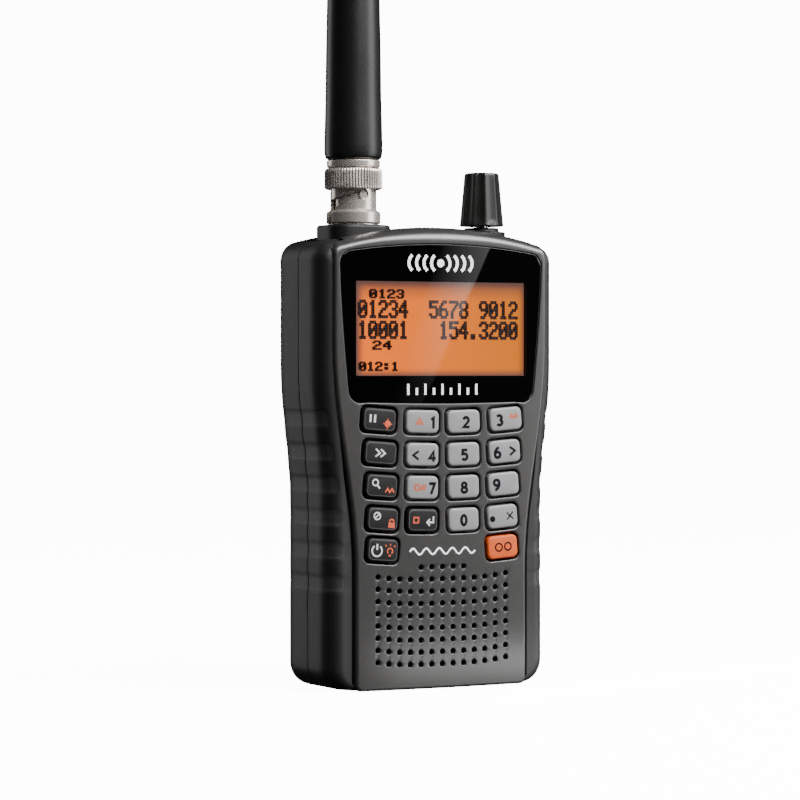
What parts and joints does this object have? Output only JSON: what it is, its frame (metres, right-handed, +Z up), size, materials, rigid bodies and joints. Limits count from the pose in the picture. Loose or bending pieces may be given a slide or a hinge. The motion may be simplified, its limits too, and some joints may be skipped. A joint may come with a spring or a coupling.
{
  "type": "radio scanner",
  "caption": "Hand-held radio scanner: waisted case with finger grips, arched top, backlit display, keypad, speaker grille, bayonet whip antenna, concentric knobs, belt clip.",
  "frame": {"origin": "on the ground plane, under the middle of the case, 16 mm behind the front face", "axes": "+Z up along the case and the antenna, -Y out of the front face, +X to the right seen from the front"},
  "size_m": [0.067, 0.0423, 0.2783],
  "materials": {
    "fascia_paint": "satin metallic grey paint on moulded plastic",
    "case_plastic": "soft-touch charcoal",
    "top_plastic": "fine matte black",
    "foot_rubber": "matte",
    "window_glass": "clear polished, hard coated",
    "tape_black": "black print seen through the window",
    "lcd_glass": "backlit amber liquid crystal",
    "light_guide": "white",
    "holder_plastic": "white",
    "membrane_rubber": "silicone",
    "key_light": "satin silver grey",
    "key_dark": "satin black with a raised rim",
    "key_orange": "satin orange",
    "dome_metal": "spring steel",
    "board_green": "solder mask",
    "shield_metal": "tinned",
    "basket_metal": "plated",
    "cone_paper": "pressed paper",
    "magnet_black": "ferrite",
    "speaker_cloth": "woven dust cloth",
    "nickel": "bright nickel plate",
    "insulator_white": "white fluoropolymer",
    "contact_gold": "gold flash",
    "whip_rubber": "satin moulded rubber",
    "knob_plastic": "gloss black",
    "shaft_metal": "turned",
    "control_case": "moulded",
    "jack_plastic": "black",
    "socket_metal": "tinned",
    "cell_wrap": "plain wrap",
    "contact_steel": "plated spring steel",
    "screw_steel": "black oxide",
    "clip_plastic": "fine texture"
  },
  "bodies": {
    "case": {"fascia": "fascia_paint", "front_housing": "case_plastic", "rear_housing": "case_plastic", "top_panel": "top_plastic", "foot_pads": "foot_rubber", "display_window": "window_glass", "window_tape": "tape_black", "lcd_panel": "lcd_glass", "lcd_backlight": "light_guide", "lcd_holder": "holder_plastic", "keypad_membrane": "membrane_rubber", "key_domes": "dome_metal", "main_board": "board_green", "rf_shield": "shield_metal", "speaker_basket": "basket_metal", "speaker_cone": "cone_paper", "speaker_magnet": "magnet_black", "speaker_cloth": "speaker_cloth", "antenna_jack": "nickel", "antenna_jack_nut": "nickel", "jack_insulator": "insulator_white", "jack_contact": "contact_gold", "control_body": "control_case", "earphone_jack": "jack_plastic", "usb_socket": "socket_metal", "battery_cells": "cell_wrap", "battery_contacts": "contact_steel", "case_screws": "screw_steel", "clip_mount": "clip_plastic", "clip_pin": "shaft_metal", "clip_spring": "contact_steel"},
    "key_hold": {"key_hold": "key_dark"},
    "key_scan": {"key_scan": "key_dark"},
    "key_search": {"key_search": "key_dark"},
    "key_lockout": {"key_lockout": "key_dark"},
    "key_power": {"key_power": "key_dark"},
    "key_1": {"key_1": "key_light"},
    "key_4": {"key_4": "key_light"},
    "key_7": {"key_7": "key_light"},
    "key_enter": {"key_enter": "key_dark"},
    "key_2": {"key_2": "key_light"},
    "key_5": {"key_5": "key_light"},
    "key_8": {"key_8": "key_light"},
    "key_0": {"key_0": "key_light"},
    "key_3": {"key_3": "key_light"},
    "key_6": {"key_6": "key_light"},
    "key_9": {"key_9": "key_light"},
    "key_clear": {"key_clear": "key_light"},
    "key_func": {"key_func": "key_orange"},
    "volume_knob": {"volume_knob": "knob_plastic", "volume_shaft": "shaft_metal"},
    "squelch_ring": {"squelch_knob": "knob_plastic", "squelch_shaft": "shaft_metal"},
    "antenna": {"antenna_plug_body": "nickel", "antenna_center_pin": "contact_gold", "antenna_whip": "whip_rubber"},
    "coupling": {"antenna_coupling": "nickel"},
    "battery_door": {"battery_door": "case_plastic"},
    "belt_clip": {"belt_clip": "clip_plastic"}
  },
  "joints": [
    {"name": "key_hold_press", "type": "slide", "parent": "case", "child": "key_hold", "axis": [0, 1, 0], "range_m": [0, 0.0009], "stiffness_N_per_m": 800, "springref_m": -0.0004},
    {"name": "key_scan_press", "type": "slide", "parent": "case", "child": "key_scan", "axis": [0, 1, 0], "range_m": [0, 0.0009], "stiffness_N_per_m": 800, "springref_m": -0.0004},
    {"name": "key_search_press", "type": "slide", "parent": "case", "child": "key_search", "axis": [0, 1, 0], "range_m": [0, 0.0009], "stiffness_N_per_m": 800, "springref_m": -0.0004},
    {"name": "key_lockout_press", "type": "slide", "parent": "case", "child": "key_lockout", "axis": [0, 1, 0], "range_m": [0, 0.0009], "stiffness_N_per_m": 800, "springref_m": -0.0004},
    {"name": "key_power_press", "type": "slide", "parent": "case", "child": "key_power", "axis": [0, 1, 0], "range_m": [0, 0.0009], "stiffness_N_per_m": 800, "springref_m": -0.0004},
    {"name": "key_1_press", "type": "slide", "parent": "case", "child": "key_1", "axis": [0, 1, 0], "range_m": [0, 0.0009], "stiffness_N_per_m": 800, "springref_m": -0.0004},
    {"name": "key_4_press", "type": "slide", "parent": "case", "child": "key_4", "axis": [0, 1, 0], "range_m": [0, 0.0009], "stiffness_N_per_m": 800, "springref_m": -0.0004},
    {"name": "key_7_press", "type": "slide", "parent": "case", "child": "key_7", "axis": [0, 1, 0], "range_m": [0, 0.0009], "stiffness_N_per_m": 800, "springref_m": -0.0004},
    {"name": "key_enter_press", "type": "slide", "parent": "case", "child": "key_enter", "axis": [0, 1, 0], "range_m": [0, 0.0009], "stiffness_N_per_m": 800, "springref_m": -0.0004},
    {"name": "key_2_press", "type": "slide", "parent": "case", "child": "key_2", "axis": [0, 1, 0], "range_m": [0, 0.0009], "stiffness_N_per_m": 800, "springref_m": -0.0004},
    {"name": "key_5_press", "type": "slide", "parent": "case", "child": "key_5", "axis": [0, 1, 0], "range_m": [0, 0.0009], "stiffness_N_per_m": 800, "springref_m": -0.0004},
    {"name": "key_8_press", "type": "slide", "parent": "case", "child": "key_8", "axis": [0, 1, 0], "range_m": [0, 0.0009], "stiffness_N_per_m": 800, "springref_m": -0.0004},
    {"name": "key_0_press", "type": "slide", "parent": "case", "child": "key_0", "axis": [0, 1, 0], "range_m": [0, 0.0009], "stiffness_N_per_m": 800, "springref_m": -0.0004},
    {"name": "key_3_press", "type": "slide", "parent": "case", "child": "key_3", "axis": [0, 1, 0], "range_m": [0, 0.0009], "stiffness_N_per_m": 800, "springref_m": -0.0004},
    {"name": "key_6_press", "type": "slide", "parent": "case", "child": "key_6", "axis": [0, 1, 0], "range_m": [0, 0.0009], "stiffness_N_per_m": 800, "springref_m": -0.0004},
    {"name": "key_9_press", "type": "slide", "parent": "case", "child": "key_9", "axis": [0, 1, 0], "range_m": [0, 0.0009], "stiffness_N_per_m": 800, "springref_m": -0.0004},
    {"name": "key_clear_press", "type": "slide", "parent": "case", "child": "key_clear", "axis": [0, 1, 0], "range_m": [0, 0.0009], "stiffness_N_per_m": 800, "springref_m": -0.0004},
    {"name": "key_func_press", "type": "slide", "parent": "case", "child": "key_func", "axis": [0, 1, 0], "range_m": [0, 0.0009], "stiffness_N_per_m": 800, "springref_m": -0.0004},
    {"name": "volume_turn", "type": "hinge", "parent": "case", "child": "volume_knob", "pos_m": [0.01825, -0.0033, 0.12], "axis": [0, 0, 1], "range_deg": [-140, 140]},
    {"name": "squelch_turn", "type": "hinge", "parent": "case", "child": "squelch_ring", "pos_m": [0.01825, -0.0033, 0.113], "axis": [0, 0, 1], "range_deg": [-140, 140]},
    {"name": "antenna_rise", "type": "slide", "parent": "case", "child": "antenna", "axis": [0, 0, 1], "range_m": [0, 0.0022]},
    {"name": "coupling_turn", "type": "hinge", "parent": "antenna", "child": "coupling", "pos_m": [-0.01825, -0.0033, 0.12], "axis": [0, 0, 1], "range_deg": [0, 90]},
    {"name": "door_slide", "type": "slide", "parent": "case", "child": "battery_door", "axis": [0, 0, -1], "range_m": [0, 0.015]},
    {"name": "clip_pivot", "type": "hinge", "parent": "case", "child": "belt_clip", "pos_m": [0, 0.0234, 0.097], "axis": [1, 0, 0], "range_deg": [0, 12], "stiffness_Nm_per_rad": 0.2, "springref_deg": -17.19}
  ],
  "couplings": [
    {"joint": "antenna_rise", "follows": "coupling_turn", "m_per_rad": 0.0014006}
  ]
}
